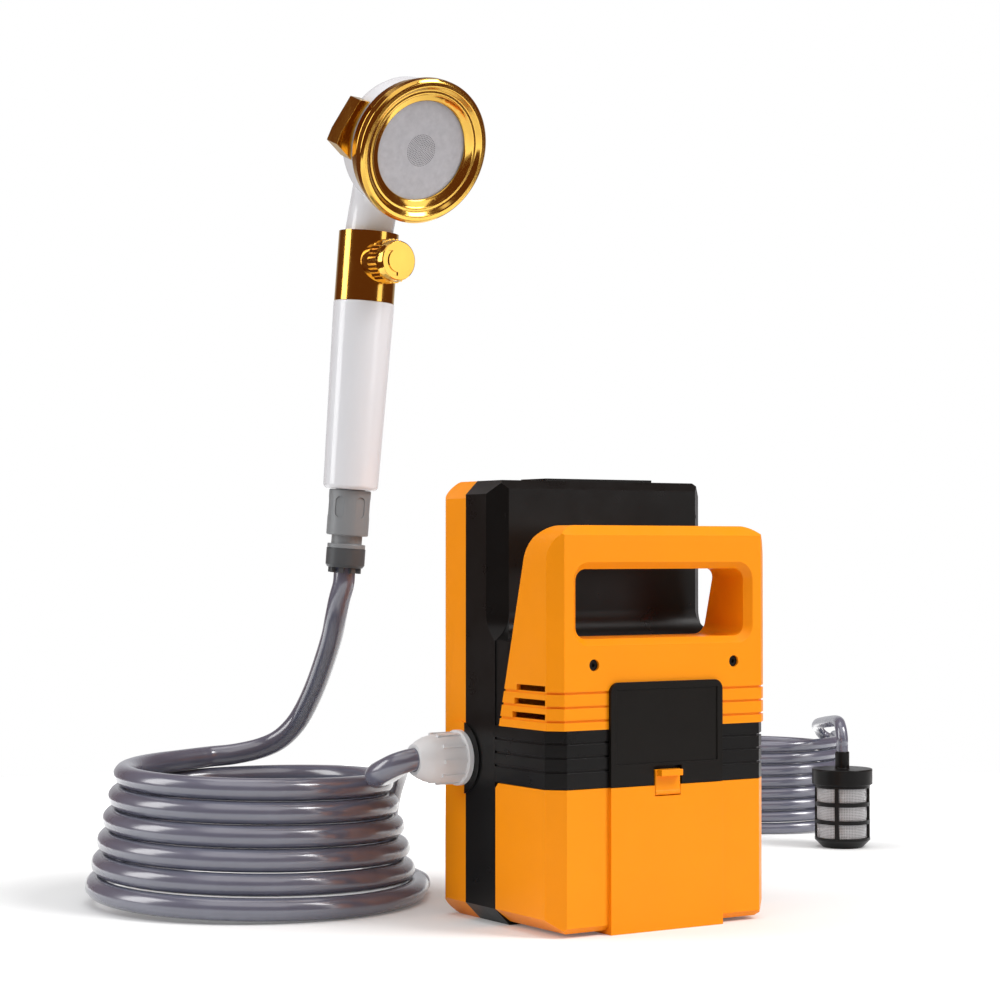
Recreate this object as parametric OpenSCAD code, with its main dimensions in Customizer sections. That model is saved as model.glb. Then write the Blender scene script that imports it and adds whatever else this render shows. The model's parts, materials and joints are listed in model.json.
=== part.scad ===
// Camp shower pump kit: a rechargeable diaphragm pump in a carry case, with an
// outlet hose, a hand shower, an intake hose and a strainer.
// Millimetres. +X runs along the front of the case, the front faces -Y, +Z is up.
// The origin lies on the floor, under the middle of the pump case.

/* [Pump case] */
// Width of the pump case
body_w = 137; // [125:1:160]
// Height of the black centre frame, with its crown strip
body_h = 230; // [215:1:250]
// Depth of the front module
front_d = 54; // [50:1:66]
// Depth of the black centre frame
frame_d = 28.5; // [26:0.5:36]
// Depth of the rear cover
rear_d = 24; // [22:0.5:32]
// Wall of the moulded shells
wall = 2.5; // [2:0.1:3]
// Chamfer along the top sides of the frame and the rear cover
top_chamfer = 7.2; // [4:0.2:10]
// Chamfer along the bottom sides of the case
base_chamfer = 9; // [5:0.5:12]
// Rounding of the rear cover's back edges
rear_round = 5; // [3:0.5:8]
// Chamfer of the slab's upright front edges
slab_chamfer = 8.5; // [5:0.5:11]
// Chamfer along the slab's top front edge
slab_brow = 4.5; // [2:0.5:6]
// Height over which the slab's chamfers run out in a curve
slab_run = 14; // [8:1:20]
// Width of the crown strip on top of the frame
crown_w = 68; // [40:1:90]
// Height of the crown strip
crown_h = 1.2; // [0.8:0.1:2]

/* [Front module] */
// Height of the battery drawer
drawer_h = 73.4; // [72:0.2:84]
// Height of the drawer's underside above the floor
drawer_lift = 2; // [1:0.2:3]
// Chamfer along the drawer's bottom front edge
drawer_toe = 3; // [1:0.5:4]
// Height of the ribbed band
band_h = 29; // [26:1:34]
// Top of the carry handle above the floor
handle_top = 205; // [198:1:212]
// Depth of the handle at its top
grip_d = 22.5; // [18:0.5:28]
// Depth of the upper housing at its lower edge
housing_d = 50.3; // [44:0.1:50.5]
// Radius of the handle's top corners
corner_r = 17; // [10:1:20]
// Chamfer of the upper housing's upright front edges
housing_chamfer = 6.5; // [4:0.5:9]
// Chamfer of the band's and the drawer's upright front edges
box_chamfer = 8; // [5:0.5:10]
// Chamfer along the handle's top front edge
brow = 5; // [2:0.5:8]
// Width of the handle opening
grip_w = 106; // [90:1:110]
// Height of the handle opening
grip_h = 35; // [30:1:38]
// Bottom of the handle opening above the floor
grip_z = 148; // [146:1:152]
// Corner radius of the handle opening
grip_r = 6; // [3:0.5:10]
// Bevel round the handle opening
grip_bevel = 3.5; // [1:0.5:5]
// Distance of the black wedge from the case's sides
wedge_inset = 0.6; // [0.4:0.1:3]
// Distance between the rib grooves
rib_pitch = 7; // [6.5:0.1:7.5]
// Depth of the rib grooves
rib_depth = 0.8; // [0.4:0.1:1.2]
// Height of a rib groove
rib_gap = 1.2; // [0.8:0.1:1.6]
// Length of the shortest side vent slot
vent_l = 26; // [20:1:28]
// Height of a side vent slot
vent_h = 3; // [2:0.2:4]
// Width of the label panel and of the drawer's raised panel
panel_w = 70.4; // [60:0.2:80]
// Top of the label panel above the floor
panel_top = 126; // [118:1:130]
// Height of the raised panels above the front face
panel_t = 2; // [1.5:0.1:3]
// Border round the label panel's field
panel_border = 3.5; // [2:0.5:6]
// Distance of the handle screws from the middle
screw_x = 44; // [40:1:48]
// Height of the handle screws
screw_z = 135; // [133:1:137]
// Radius of a handle screw's head
screw_r = 2.8; // [2.2:0.1:3.4]
// Reach of a handle screw behind the front face
screw_l = 16; // [12:1:18]

/* [Latch] */
// Sideways place of the latch
latch_x = 0; // [-10:0.5:10]
// Width of the latch tab
latch_w = 15.5; // [14:0.5:26]
// Thickness of the latch tab
latch_t = 2.4; // [2:0.1:2.6]
// Reach of the latch tab above the drawer
latch_rise = 8; // [6:0.5:10]
// Reach of the latch's thumb lip
latch_lip = 4; // [2:0.5:5]
// Distance of the latch pivot below the drawer's top edge
latch_drop = 3.6; // [3:0.2:8]
// Radius of the latch pin
latch_pin_r = 0.8; // [0.6:0.1:1]

/* [Ports] */
// Height of the two hose ports
port_z = 84; // [82:1:90]
// Radius of the round boss behind each hose nut
boss_r = 19; // [17:0.5:21]
// Height of the boss above the case's side
boss_t = 1; // [0.6:0.2:2]
// Radius of the port nipples
nipple_r = 4.8; // [4:0.1:5.4]
// Bore radius of the port nipples
nipple_bore = 3; // [2:0.1:3.4]
// Flange radius of the outlet nut
nut_flange_r = 14.5; // [13.5:0.1:16]
// Body radius of the outlet nut
nut_r = 13; // [11:0.1:13.2]
// Length of the outlet nut
nut_l = 28; // [25:1:32]
// Flange radius of the intake nut
in_flange_r = 11.5; // [10.5:0.1:13]
// Body radius of the intake nut
in_nut_r = 10; // [8.5:0.1:10.4]
// Length of the intake nut
in_nut_l = 22; // [20:1:26]
// Length of hose inside each nut
hose_grip = 12.5; // [12:0.1:14]

/* [Pump unit] */
// Width of the pump head
head_w = 46; // [40:1:60]
// Depth of the pump head
head_d = 32; // [28:1:33]
// Height of the pump head
head_h = 20; // [18:1:24]
// Thickness of the valve plate
valve_t = 3; // [2:0.2:4]
// Thickness of the diaphragm
diaphragm_t = 2; // [1:0.2:3]
// Height of the crank case
crank_h = 24; // [22:1:30]
// Radius of the motor can
motor_r = 16; // [14:0.5:16.4]
// Length of the motor can
motor_l = 56; // [48:1:62]
// Radius of the motor shaft
shaft_r = 1.6; // [1.2:0.1:2]
// Radius of the eccentric
ecc_r = 7; // [5:0.5:8]
// Throw of the eccentric
ecc_throw = 2; // [1:0.5:3]
// Height of the eccentric
ecc_h = 9; // [6:1:11]
// Thickness of the pump's bracket
bracket_t = 2; // [1.5:0.1:3]
// Height of the bracket's upright
bracket_h = 22; // [16:1:26]

/* [Battery and board] */
// Radius of a battery cell
cell_r = 9.2; // [9:0.1:9.4]
// Length of a battery cell
cell_l = 65; // [60:0.5:66]
// Battery cells in a row across the drawer
cell_n = 3; // [2:1:4]
// Distance between battery cells
cell_pitch = 20; // [19.5:0.1:20.5]
// Spacing of the two battery contacts
contact_pitch = 12; // [10:0.5:14]
// Width of a battery contact
contact_w = 3; // [2.5:0.1:3]
// Height of a battery contact
contact_h = 10; // [8:0.5:10]
// Height of the cell tray
tray_h = 10; // [6:1:16]
// Thickness of the circuit boards
board_t = 1.6; // [1:0.1:2]
// Width of the control board
board_w = 80; // [60:1:90]
// Depth of the control board
board_d = 26; // [24:1:28]
// Side of the relay on the control board
relay = 12; // [8:0.5:14]
// Travel of the battery drawer
drawer_travel = 38; // [20:1:38]
// Width of a drawer rail
rail_w = 3; // [2:0.5:4]
// Height of a drawer rail
rail_h = 6; // [4:0.5:8]
// Height of the drawer rails above the floor
rail_z = 40; // [36:1:48]

/* [Switch and socket] */
// Height of the switch opening
switch_h = 20; // [16:1:22]
// Width of the switch opening
switch_w = 14; // [10:1:16]
// Tilt of the rocker at rest
rocker_tilt = 7; // [4:1:9]
// Radius of the charging socket's body
socket_r = 5; // [4.5:0.1:6]
// Bore radius of the charging socket
socket_bore = 2.8; // [2.6:0.05:3]
// Length of the charging socket
socket_l = 11; // [10:0.5:13]

/* [Hand shower] */
// Lean of the hand shower to the right
lean_side = 3; // [0:0.5:6]
// Lean of the hand shower to the front
lean_front = 3; // [0:0.5:6]
// Turn of the hand shower to the right
shower_turn = 4; // [0:0.5:8]
// Bottom of the hand shower above the floor
shower_z = 180; // [170:1:190]
// Radius of the hose clamp nut
clamp_r = 10.8; // [10:0.1:12]
// Length of the hose clamp nut
clamp_l = 10.5; // [9:0.1:13]
// Length of the clamp nut's claws
claw_l = 3; // [2:0.5:4]
// Radius of the quick connector's body
quick_r = 8.5; // [8:0.1:9]
// Thickness of the connector's flange
quick_flange = 2.5; // [2:0.1:4]
// Length of neck that shows below the sleeve
neck_l = 4.7; // [4.5:0.1:7]
// Radius of the sliding sleeve
sleeve_r = 11.6; // [11:0.1:13]
// Length of the sliding sleeve
sleeve_l = 25.3; // [24:0.1:28]
// Radius of the plug inside the connector
plug_r = 6; // [5:0.1:6.4]
// Radius of the handle at its bottom
handle_low_r = 15.2; // [14.6:0.1:17]
// Radius of the handle at its top
handle_top_r = 16.9; // [16.6:0.1:18]
// Length of the handle
handle_l = 104; // [90:1:120]
// Bore radius of the handle
handle_bore = 10; // [9:0.5:11]
// Radius of the neck under the shower's head
head_neck_r = 13.3; // [12:0.1:15]
// Radius of the flow collar
collar_r = 16.6; // [16:0.1:18]
// Length of the flow collar
collar_l = 38.5; // [34:0.5:44]
// Radius of the flow knob
knob_r = 12.3; // [10:0.1:14]
// Reach of the flow knob in front of the shower's axis
knob_reach = 32; // [28:0.5:38]
// Number of ridges on the flow knob
knob_teeth = 30; // [20:1:40]
// Radius of the valve spindle
spindle_r = 5; // [4:0.1:6]
// Radius of the head's rim
rim_r = 39.6; // [38.8:0.2:46]
// Thickness of the head's rim
rim_t = 8; // [6:0.5:10]
// Radius of the spray plate that shows
plate_r = 27; // [24:0.5:28]
// Thickness of the gold ring behind the rim
ring_t = 7; // [4:0.5:8]
// Radius of the head's white shell
shell_r = 36; // [34:0.5:36.5]
// Depth of the head's white shell
shell_d = 19; // [17:0.5:24]
// Reach of the spray face in front of the shower's axis
face_reach = 50; // [48:0.5:56]
// Height of the spray face above the flow collar
face_rise = 41; // [40:0.5:50]
// Downward tilt of the spray face
face_tilt = 18; // [10:1:22]
// Reach of the mode lever from the head's axis
lever_reach = 45; // [43:0.5:50]
// Height of the mode lever's end above the head's axis
lever_top = 19; // [16:0.5:21]
// Depth of the mode lever
lever_d = 11; // [8:0.5:12]

/* [Outlet hose] */
// Diameter of the outlet hose
out_hose_d = 12; // [10:0.2:12]
// Radius of the outlet coil's lowest turn
out_coil_r = 86.5; // [84:0.5:92]
// Drawing-in of the outlet coil with each turn
out_coil_taper = 3; // [2.5:0.1:3.4]
// Rise of the outlet coil with each turn
out_coil_pitch = 12; // [11.9:0.1:12.6]
// Turns of the outlet coil
out_coil_turns = 5.625; // [5.625:1:5.625]

/* [Intake hose] */
// Diameter of the intake hose
in_hose_d = 7.5; // [6:0.1:7.5]
// Radius of the intake coil
in_coil_r = 49.5; // [48:0.5:51]
// Rise of the intake coil with each turn
in_coil_pitch = 7.9; // [7.8:0.1:8.2]
// Turns of the intake coil
in_coil_turns = 7.25; // [7.25:1:7.25]

/* [Strainer] */
// Radius of the strainer's cap
cap_r = 19.6; // [18.5:0.1:22]
// Height of the strainer's cap
cap_h = 10.2; // [8:0.2:13]
// Radius of the strainer's cage
cage_r = 17.9; // [16:0.1:18.2]
// Height of the strainer's cage
cage_h = 40.6; // [36:0.2:46]
// Width of the cage's ribs
cage_rib = 2.6; // [2:0.1:3.4]
// Wall of the cage
cage_wall = 1.4; // [1:0.1:2]
// Chamfer at the cage's bottom
cage_chamfer = 5; // [3:0.5:6]
// Radius of the strainer's neck
neck_r = 4.6; // [4.4:0.1:6]
// Length of the strainer's neck
strainer_neck_l = 11; // [8:0.5:13]

/* [Fits] */
// Gap between faces that pass each other
gap = 0.3; // [0.2:0.05:0.4]
// Radial clearance of a shaft or pin in its bore
running = 0.05; // [0.03:0.01:0.08]

/* [Hidden] */
$fn = 64;

orange = "darkorange";
black = [0.08, 0.08, 0.09];
grey = [0.62, 0.63, 0.65];
gold = [0.80, 0.58, 0.18];
white = [0.93, 0.93, 0.94];
steel = "silver";
smoke = [0.55, 0.54, 0.58];

// Planes of the pump case
half_w = body_w / 2;
y_front = -(front_d + frame_d + rear_d) / 2;
y_frame = y_front + front_d;
y_seam = y_frame + frame_d;
y_back = y_seam + rear_d;
top_z = body_h - crown_h;
band_z = drawer_h + gap;
housing_z = band_z + band_h;

// Slanted back of the upper housing
slant = (housing_d - grip_d) / (handle_top - housing_z);
function housing_back(z) = y_front + housing_d - slant * (z - housing_z);

// Black wedge behind the housing, with the finger scoop on top of it
ledge_z = grip_z - 2;
wedge_y = housing_back(ledge_z) + gap;
scoop_r = y_frame - wedge_y;
run_z = ledge_z + slab_run;
edge_d = slab_chamfer * sqrt(0.5);
function run_out(d) = (slab_run * slab_run + d * d) / (2 * d);

// Latch
pivot_z = drawer_h - latch_drop;
knuckle_r = latch_t / 2 + 0.4;
latch_y = y_front - panel_t + latch_t / 2;
pocket_y = latch_y + knuckle_r + gap;

// Ports: both lie on one line through the pump head
port_y = y_seam + 4.5;
boss_x = half_w + boss_t;
out_nose_x = boss_x + nut_l;
in_nose_x = boss_x + in_nut_l;
flange_t = 3;

// Pump unit, stacked upwards from the head
head_z = port_z - head_h * 0.6;
valve_z = head_z + head_h;
diaphragm_z = valve_z + valve_t;
crank_z = diaphragm_z + diaphragm_t;
motor_z = crank_z + crank_h;
crank_r = head_d / 2 - 3;
wobble_t = 3;
ecc_z = crank_z + wobble_t + gap * 2;

// Battery
cell_y = (y_front + y_frame - gap) / 2;
cell_z = drawer_lift + wall + 1.5;
tray_w = cell_n * cell_pitch + 4;
tray_d = 2 * cell_pitch + 4;
rail_x = half_w - wall - 2 * gap - rail_w;
rail_l = drawer_travel + 2;
contact_z = drawer_h - 19;
board_y = y_front + wall + housing_chamfer;

// Switch and socket, on the right side
switch_y = (y_front + housing_chamfer + housing_back(panel_top)) / 2;
switch_z = housing_z + 2 * rib_pitch + rib_gap + switch_h / 2;
socket_z = band_z + band_h / 2;
rocker_x = half_w + 0.4;

// Hand shower, upwards along its own axis
shower_at = [-86, 129, shower_z];
shower_lean = [lean_front, lean_side, 0];
clamp_z = claw_l;
body_z = clamp_z + clamp_l;
sleeve_z = body_z + quick_flange + neck_l;
handle_z = sleeve_z + sleeve_l + gap;
collar_z = handle_z + handle_l;
knob_z = collar_z + collar_l * 0.57;
neck_z = collar_z + collar_l;
face_at = [0, -face_reach, neck_z + face_rise];
hose_top_z = clamp_z + 5;
socket_floor = body_z + 10;
plug_z = socket_floor + 1;

// Coils: the outlet coil winds clockwise upwards, the intake coil the other way
coil_turn = -32.5;
out_r = out_hose_d / 2;
in_r = in_hose_d / 2;
out_coil_at = [-130, 153, 0];
in_coil_at = [334, 279, 0];
strainer_at = [300, 160, 0];
steps = 24;

module place_shower() translate(shower_at) rotate(shower_lean) rotate([0, 0, shower_turn]) children();
module place_face() translate(face_at) rotate([90 + face_tilt, 0, 0]) children();

// Flat outlines pushed along one axis
module along_y(y0, d) translate([0, y0 + d, 0]) rotate([90, 0, 0]) linear_extrude(d) children();
module along_x(x0, d) translate([x0, 0, 0]) rotate([90, 0, 90]) linear_extrude(d) children();
module along_z(z0, d) translate([0, 0, z0]) linear_extrude(d) children();
module rod_x(x0, x1, y, z, r) translate([x0, y, z]) rotate([0, 90, 0]) cylinder(r = r, h = x1 - x0);
module rod_y(x, y0, y1, z, r) translate([x, y0, z]) rotate([-90, 0, 0]) cylinder(r = r, h = y1 - y0);

module rounded_rect(w, h, r) {
    translate([-w / 2 + r, -h / 2]) square([w - 2 * r, h]);
    translate([-w / 2, -h / 2 + r]) square([w, h - 2 * r]);
    for (x = [-1, 1], y = [-1, 1]) translate([x * (w / 2 - r), y * (h / 2 - r)]) circle(r);
}

// Case outline seen from the front
module case_outline(w, z0, z1, low, high)
    polygon([[-w / 2 + low, z0], [w / 2 - low, z0], [w / 2, z0 + low], [w / 2, z1 - high],
        [w / 2 - high, z1], [-w / 2 + high, z1], [-w / 2, z1 - high], [-w / 2, z0 + low]]);

// Plan with chamfered front corners
module front_plan(w, y0, y1, c)
    polygon([[-w / 2 + c, y0], [w / 2 - c, y0], [w / 2, y0 + c], [w / 2, y1], [-w / 2, y1], [-w / 2, y0 + c]]);

// Plan with rounded back corners
module back_plan(w, y0, y1, r) {
    translate([-w / 2, y0]) square([w, y1 - y0 - r]);
    translate([-w / 2 + r, y0]) square([w - 2 * r, y1 - y0]);
    for (x = [-1, 1]) translate([x * (w / 2 - r), y1 - r]) circle(r);
}

// Side view with rounded back edges
module back_side(y0, y1, z0, z1, r) {
    translate([y0, z0]) square([y1 - y0 - r, z1 - z0]);
    translate([y0, z0 + r]) square([y1 - y0, z1 - z0 - 2 * r]);
    for (z = [z0 + r, z1 - r]) translate([y1 - r, z]) circle(r);
}

// Shallow grooves round the front and the sides
module rib_groove(z, c) along_z(z, rib_gap) difference() {
    front_plan(body_w + 2, y_front - 1, y_frame + 1, c);
    front_plan(body_w - 2 * rib_depth, y_front + rib_depth, y_frame + 2, c);
}

// A tube swept along a list of points, with triangles all over
function unit(v) = v / norm(v);
function tangents(p) = [for (i = [0:len(p) - 1]) i == 0 ? unit(p[1] - p[0])
    : i == len(p) - 1 ? unit(p[i] - p[i - 1]) : unit(unit(p[i + 1] - p[i]) + unit(p[i] - p[i - 1]))];
function square_to(n, t) = unit(n - (n * t) * t);
function normals(t, n, i = 0) = i == len(t) ? []
    : let (m = square_to(n, t[i])) concat([m], normals(t, m, i + 1));
module tube(p, r, sides) {
    t = tangents(p);
    n = normals(t, abs(t[0][2]) > 0.9 ? [1, 0, 0] : [0, 0, 1]);
    last = len(p) - 1;
    points = [for (i = [0:last], k = [0:sides - 1])
        p[i] + r * (cos(360 * k / sides) * n[i] + sin(360 * k / sides) * cross(t[i], n[i]))];
    skin = [for (i = [0:last - 1], k = [0:sides - 1]) let (a = i * sides + k, b = i * sides + (k + 1) % sides)
        each [[a, a + sides, b], [b, a + sides, b + sides]]];
    ends = [for (k = [1:sides - 2]) each [[0, k, k + 1], [last * sides, last * sides + k + 1, last * sides + k]]];
    polyhedron(points, concat(skin, ends));
}

// A smooth line through a route's points
function smooth(a, b, c, d, u) = 0.5 * (2 * b + (c - a) * u + (2 * a - 5 * b + 4 * c - d) * u * u
    + (3 * b - a - 3 * c + d) * u * u * u);
function route(p, cuts) = concat([for (i = [0:len(p) - 2], k = [0:cuts - 1])
    smooth(p[max(i - 1, 0)], p[i], p[i + 1], p[min(i + 2, len(p) - 1)], k / cuts)], [p[len(p) - 1]]);
function line_length(p) = len(p) < 2 ? 0 : [for (i = 0, s = 0; i < len(p); i = i + 1,
    s = s + (i < len(p) ? norm(p[i] - p[i - 1]) : 0)) s][len(p) - 1];

// Least gap of a wound tube to itself, measured from turn to turn
function self_gap(p, d) = min([for (i = [0:len(p) - 1], j = [i + steps / 2:1:len(p) - 1]) norm(p[i] - p[j])]) - d;

// Outlet coil: a flat first quarter, then a steady climb that draws in
function out_radius(t) = out_coil_r - out_coil_taper * t + 4 * max(0, 1 - 2 * t);
function out_level(t) = max(out_r + 0.1, 4.5 + out_coil_pitch * t);
function out_point(t) = out_coil_at + [out_radius(t) * cos(coil_turn - 360 * t),
    out_radius(t) * sin(coil_turn - 360 * t), out_level(t)];
coil_away = [-sin(coil_turn), cos(coil_turn), 0];
coil_right = [cos(coil_turn), sin(coil_turn), 0];
out_coil_in = out_point(0) + coil_away * out_hose_d;
out_heading = [sin(coil_turn - 360 * out_coil_turns), -cos(coil_turn - 360 * out_coil_turns), 0.04];
out_coil_out = out_point(out_coil_turns) + unit(out_heading) * out_hose_d;
out_coil_line = concat([out_coil_in], [for (i = [0:out_coil_turns * steps]) out_point(i / steps)],
    [out_coil_out]);

// Intake coil: a steady climb
function in_point(t) = in_coil_at + [in_coil_r * cos(coil_turn - 90 + 360 * t),
    in_coil_r * sin(coil_turn - 90 + 360 * t), in_r + 0.1 + in_coil_pitch * t];
in_coil_in = in_point(0) - coil_right * in_hose_d;
in_heading = unit(coil_away + [0, 0, 0.026]);
in_coil_out = in_point(in_coil_turns) + in_heading * in_hose_d;
in_coil_line = concat([in_coil_in], [for (i = [0:in_coil_turns * steps]) in_point(i / steps)],
    [in_coil_out]);

// Free stretches of hose: ends from the pieces that they meet, the rest chosen points
out_lead_route = [[-boss_x - nut_l + hose_grip, port_y, port_z], [-out_nose_x + 6, port_y, port_z],
    [-out_nose_x - 1, port_y, port_z],
    [-106, 36, 82], [-110, 41, 79], [-111, 48, 76], [-106, 57, 74], [-95, 71, 73], [-81, 87, 73],
    [-66, 104, 74], [-52, 126, 73], [-42, 146, 66], [-35, 165, 53], [-30, 178, 39], [-27, 183, 25],
    [-27, 178, 12], [-32, 158, 7], out_coil_in + coil_away * 16, out_coil_in + coil_away * 6,
    out_coil_in];
shower_axis = [cos(lean_front) * sin(lean_side), -sin(lean_front), cos(lean_front) * cos(lean_side)];
out_riser_route = [out_coil_out, out_coil_out + unit(out_heading) * 6,
    [-120, 226, 73], [-107, 223, 74], [-94, 217, 77], [-85, 210, 82], [-79, 203, 90],
    [-76, 195, 100], [-77, 180, 114], [-80, 163, 130], [-83, 149, 144], [-86, 139, 155],
    [-87, 133, 165], shower_at - shower_axis * 6, shower_at + shower_axis * 2,
    shower_at + shower_axis * hose_top_z];
in_lead_route = [[boss_x + in_nut_l - hose_grip, port_y, port_z], [in_nose_x - 6, port_y, port_z],
    [in_nose_x + 1, port_y, port_z],
    [103, 37, 83], [114, 47, 77], [124, 65, 64], [138, 90, 42], [156, 120, 19], [178, 153, 6], [200, 185, 4],
    [216, 212, 4], [234, 238, 4], [258, 252, 4], in_coil_in - coil_right * 14, in_coil_in - coil_right * 5,
    in_coil_in];
neck_top = strainer_at + [0, 0, cage_h + cap_h + strainer_neck_l];
in_loop_route = [in_coil_out, in_coil_out + in_heading * 4, in_coil_out + in_heading * 9,
    [392, 275, 60], [399, 283, 58], [401, 291, 57], [398, 296, 60], [392, 294, 65],
    [384, 285, 68], [360, 254, 72], [330, 209, 77], [309, 175, 80], neck_top + [2, 4, 15.5],
    neck_top + [0, 0, 9], neck_top + [0, 0, 4], neck_top];
echo(outlet_coil_gap = self_gap(out_coil_line, out_hose_d), intake_coil_gap = self_gap(in_coil_line, in_hose_d));
echo(outlet_hose_length = line_length(route(out_lead_route, 3)) + line_length(out_coil_line)
    + line_length(route(out_riser_route, 3)));
echo(intake_hose_length = line_length(route(in_lead_route, 3)) + line_length(in_coil_line)
    + line_length(route(in_loop_route, 3)));

// Screw posts of the rear cover
post_r = 4;
post_x = half_w - wall - post_r - base_chamfer / 2;
post_z = [wall + base_chamfer + post_r, top_z - wall - slab_brow - top_chamfer - post_r];
screw_core = 1.4;

module rear_cover() color(orange) difference() {
    union() {
        difference() {
            intersection() {
                along_y(y_seam, rear_d) case_outline(body_w, 0, top_z, base_chamfer, top_chamfer + 2);
                along_z(0, top_z) back_plan(body_w, y_seam, y_back, rear_round);
                along_x(-half_w, body_w) back_side(y_seam, y_back, 0, top_z, rear_round);
            }
            along_y(y_seam - 1, rear_d - wall + 1)
                case_outline(body_w - 2 * wall, wall, top_z - wall, base_chamfer, top_chamfer + 2);
        }
        for (s = [0, 1]) mirror([s, 0, 0]) intersection() {
            rod_x(-boss_x, -half_w + wall, port_y, port_z, boss_r);
            translate([-half_w * 2, y_seam, 0]) cube([body_w, y_back - rear_round - y_seam, body_h]);
        }
        for (x = [-1, 1], z = post_z) rod_y(x * post_x, y_seam, y_back - wall / 2, z, post_r);
    }
    for (s = [0, 1]) mirror([s, 0, 0]) rod_x(-boss_x - 1, -half_w + wall + 1, port_y, port_z, nipple_r + gap);
    for (x = [-1, 1], z = post_z) {
        rod_y(x * post_x, y_seam - 1, y_back + 1, z, screw_core + 0.1);
        rod_y(x * post_x, y_back - 4, y_back + 1, z, screw_r + 0.1);
    }
}

module cover_screws() color(steel) for (x = [-1, 1], z = post_z) difference() {
    union() {
        rod_y(x * post_x, y_seam - 10, y_back - 3, z, screw_core);
        rod_y(x * post_x, y_back - 4, y_back - 2, z, screw_r);
    }
    rod_y(x * post_x, y_back - 3, y_back, z, screw_r * 0.4);
}

// Way for the motor leads between the frame and the housing
module wire_way() translate([-4, y_front + housing_d - 14, housing_z + 2])
    cube([8, y_frame + wall + 1 - (y_front + housing_d - 14), 6]);

// Cut along the slab's upright front edge, running out in a curve at its lower end
module slab_edge() translate([-half_w + slab_chamfer / 2, y_frame + slab_chamfer / 2, 0]) rotate([0, 0, 225])
    rotate([90, 0, 0]) linear_extrude(4 * slab_chamfer, center = true) {
        translate([0, run_z]) square([2 * slab_chamfer, body_h]);
        translate([run_out(edge_d), run_z]) circle(run_out(edge_d));
    }

// The same curve at the ends of the wedge
module wedge_end() along_y(wedge_y - 1, scoop_r + 3) {
    translate([-half_w - 1, run_z]) square([slab_chamfer + 1, body_h]);
    translate([-half_w + slab_chamfer - run_out(slab_chamfer), run_z]) circle(run_out(slab_chamfer));
}

module centre_frame() color(black) difference() {
    union() {
        difference() {
            union() {
                difference() {
                    intersection() {
                        along_y(y_frame, frame_d) case_outline(body_w, 0, top_z, base_chamfer, top_chamfer);
                        along_x(-half_w, body_w) polygon([[y_frame, 0], [y_seam, 0], [y_seam, top_z],
                            [y_frame + slab_brow, top_z], [y_frame, top_z - slab_brow]]);
                    }
                    for (s = [0, 1]) mirror([s, 0, 0]) slab_edge();
                }
                translate([-crown_w / 2, y_frame + slab_brow, top_z - 1])
                    cube([crown_w, frame_d - slab_brow, crown_h + 1]);
                // wedge that fills the space behind the upper housing, hollowed as a finger scoop
                difference() {
                    along_x(-half_w + wedge_inset, body_w - 2 * wedge_inset)
                        polygon([[y_frame + 1, housing_z], [housing_back(housing_z) + gap, housing_z],
                            [wedge_y, ledge_z], [wedge_y, ledge_z + 0.01], [y_frame, ledge_z + scoop_r],
                            [y_frame + 1, ledge_z + scoop_r]]);
                    rod_x(-half_w, half_w, wedge_y, ledge_z + scoop_r, scoop_r);
                    for (s = [0, 1]) mirror([s, 0, 0]) wedge_end();
                }
            }
            intersection() {
                along_y(y_frame + wall, frame_d)
                    case_outline(body_w - 2 * wall, wall, top_z - wall - slab_brow, base_chamfer, top_chamfer);
                along_z(0, top_z) front_plan(body_w - 2 * wall, y_frame + wall, y_seam + 1, slab_chamfer);
            }
        }
        for (x = [-1, 1], z = post_z) rod_y(x * post_x, y_frame + wall / 2, y_seam, z, post_r);
        for (s = [0, 1]) mirror([s, 0, 0]) intersection() {
            rod_x(-boss_x, -half_w + wall, port_y, port_z, boss_r);
            translate([-half_w * 2, y_frame, 0]) cube([body_w, frame_d, body_h]);
        }
    }
    for (s = [0, 1]) mirror([s, 0, 0]) rod_x(-boss_x - 1, -half_w + wall + 1, port_y, port_z, nipple_r + gap);
    for (x = [-1, 1], z = post_z) rod_y(x * post_x, y_seam - 12, y_seam + 1, z, screw_core + 0.1);
    wire_way();
}

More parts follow.
